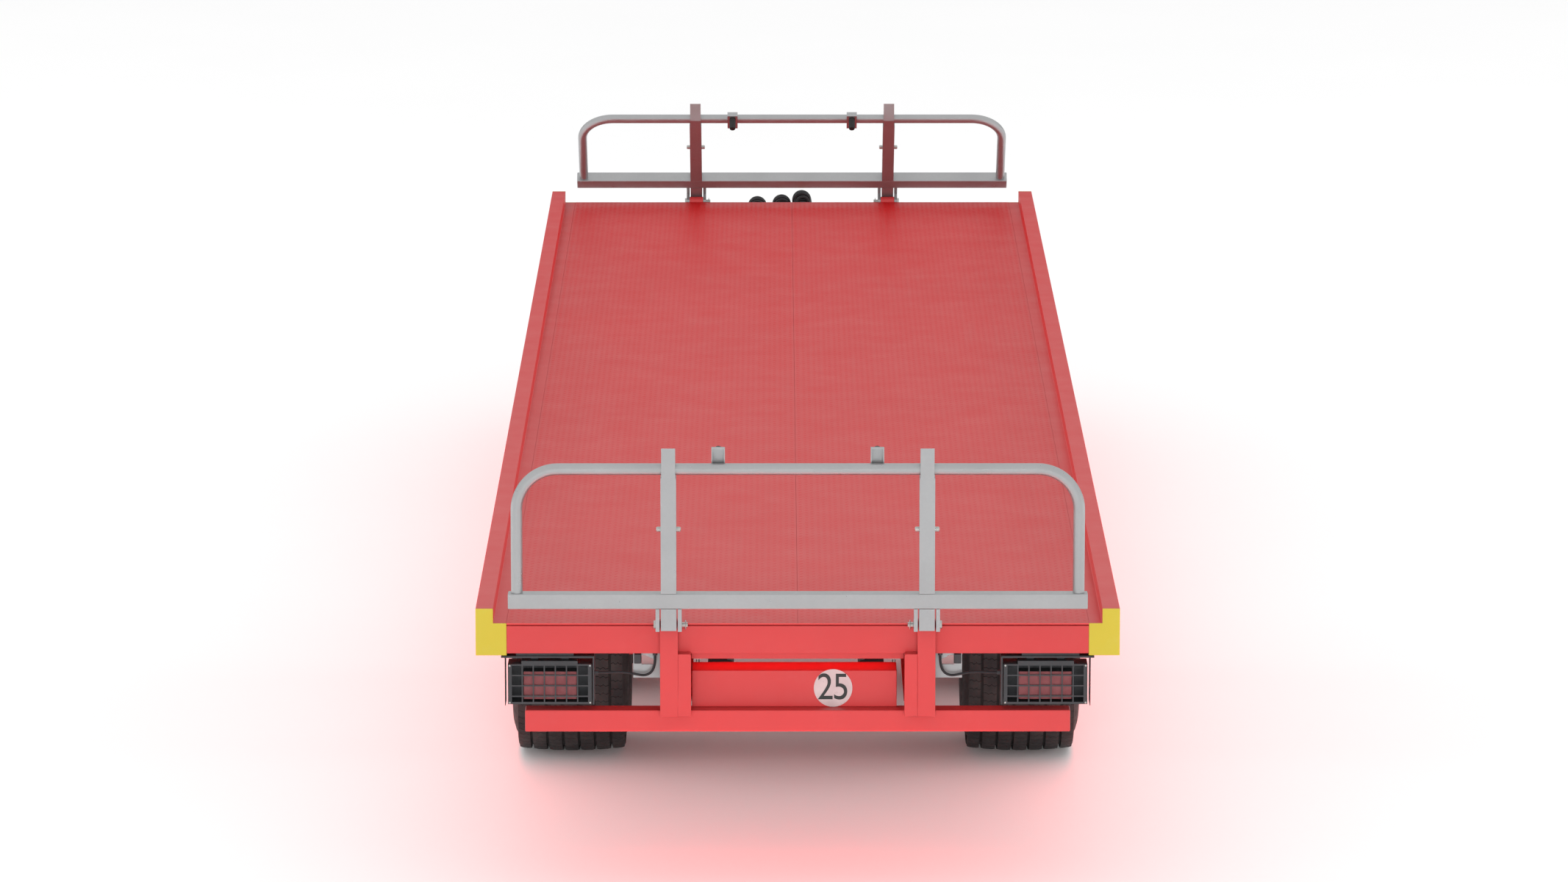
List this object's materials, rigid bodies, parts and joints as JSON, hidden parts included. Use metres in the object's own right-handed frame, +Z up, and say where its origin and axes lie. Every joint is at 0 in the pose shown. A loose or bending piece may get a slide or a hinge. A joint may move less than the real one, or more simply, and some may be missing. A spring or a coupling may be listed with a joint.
{
  "type": "flatbed farm trailer",
  "caption": "Long red flatbed farm trailer with a ribbed-rail steel deck, folding tubular load racks at both ends, a walking-beam bogie and an A-frame drawbar.",
  "frame": {"origin": "on the ground, under the middle of the trailer's overall box", "axes": "+Y forward to the towing eye, +Z up, +X to the right when looking forward from behind"},
  "size_m": [2.5, 11.82, 1.8635],
  "materials": {
    "red_paint": "satin gloss red paint on steel",
    "deck_red": "red paint on tear-plate steel",
    "galvanised": "matt hot-dip galvanised steel",
    "yellow_paint": "yellow safety paint",
    "black_plastic": "black plastic",
    "disc_white": "retro-reflective white sheet",
    "steel": "bare oiled steel",
    "brake_black": "black chassis paint",
    "lamp_red": "clear red lamp lens",
    "brass": "turned brass",
    "coupling": "die-cast coupling head",
    "rubber": "black rubber",
    "tyre": "black tyre rubber",
    "rim_paint": "silver rim paint"
  },
  "bodies": {
    "chassis": {"main_beams": "red_paint", "cross_members": "red_paint", "side_rail_right": "red_paint", "side_rail_left": "red_paint", "rear_end_beam": "red_paint", "front_end_beam": "red_paint", "rear_posts": "red_paint", "front_posts": "red_paint", "rear_bumper": "red_paint", "tail_crossbar": "red_paint", "bogie_hangers": "red_paint", "drawbar_arm_right": "red_paint", "drawbar_arm_left": "red_paint", "drawbar_plates": "red_paint", "drawbar_head": "red_paint", "parking_leg_sleeve": "red_paint", "deck_sheet_right": "deck_red", "deck_sheet_left": "deck_red", "corner_caps": "yellow_paint", "speed_disc": "disc_white", "wiring_plates": "galvanised", "hose_holder": "galvanised", "bogie_shaft": "steel", "lamp_brackets": "black_plastic", "lamp_housings": "black_plastic", "lamp_guards": "black_plastic", "cable_glands": "black_plastic", "lamp_cable_left": "black_plastic", "lamp_cable_right": "black_plastic", "curly_hose_red": "black_plastic", "curly_hose_yellow": "black_plastic", "curly_hose_light": "black_plastic", "lamp_units": "lamp_red", "hose_fittings": "brass", "coupling_heads": "coupling"},
    "rear_rack": {"rear_rack_beam": "galvanised", "rear_rack_hoop": "galvanised", "rear_rack_posts": "galvanised", "rear_rack_fasteners": "galvanised", "rear_rack_buffers": "rubber"},
    "front_rack": {"front_rack_beam": "galvanised", "front_rack_hoop": "galvanised", "front_rack_posts": "galvanised", "front_rack_fasteners": "galvanised", "front_rack_buffers": "rubber"},
    "bogie": {"bogie_rockers": "red_paint", "axle_rear": "red_paint", "axle_front": "red_paint", "axle_clamps": "galvanised", "brake_gear": "brake_black"},
    "wheel_rear_left": {"tyre_rear_left": "tyre", "wheel_rear_left": "rim_paint"},
    "wheel_rear_right": {"tyre_rear_right": "tyre", "wheel_rear_right": "rim_paint"},
    "wheel_front_left": {"tyre_front_left": "tyre", "wheel_front_left": "rim_paint"},
    "wheel_front_right": {"tyre_front_right": "tyre", "wheel_front_right": "rim_paint"},
    "leg": {"parking_leg": "galvanised"},
    "eye": {"towing_eye": "steel"}
  },
  "joints": [
    {"name": "rear_rack_fold", "type": "hinge", "parent": "chassis", "child": "rear_rack", "pos_m": [0, -5.825, 1.15], "axis": [-1, 0, 0], "range_deg": [0, 85]},
    {"name": "front_rack_fold", "type": "hinge", "parent": "chassis", "child": "front_rack", "pos_m": [0, 4.225, 1.15], "axis": [1, 0, 0], "range_deg": [-43, 42]},
    {"name": "bogie_rock", "type": "hinge", "parent": "chassis", "child": "bogie", "pos_m": [0, -2.45, 0.65], "axis": [1, 0, 0], "range_deg": [-5, 5]},
    {"name": "wheel_rear_left_spin", "type": "hinge", "parent": "bogie", "child": "wheel_rear_left", "pos_m": [-0.95, -3.1, 0.4725], "axis": [1, 0, 0], "continuous": true},
    {"name": "wheel_rear_right_spin", "type": "hinge", "parent": "bogie", "child": "wheel_rear_right", "pos_m": [0.95, -3.1, 0.4725], "axis": [1, 0, 0], "continuous": true},
    {"name": "wheel_front_left_spin", "type": "hinge", "parent": "bogie", "child": "wheel_front_left", "pos_m": [-0.95, -1.8, 0.4725], "axis": [1, 0, 0], "continuous": true},
    {"name": "wheel_front_right_spin", "type": "hinge", "parent": "bogie", "child": "wheel_front_right", "pos_m": [0.95, -1.8, 0.4725], "axis": [1, 0, 0], "continuous": true},
    {"name": "parking_leg_slide", "type": "slide", "parent": "chassis", "child": "leg", "axis": [0, 0, 1], "range_m": [0, 0.38]},
    {"name": "towing_eye_swivel", "type": "hinge", "parent": "chassis", "child": "eye", "pos_m": [0, 5.85, 0.62], "axis": [0, 1, 0], "continuous": true}
  ]
}
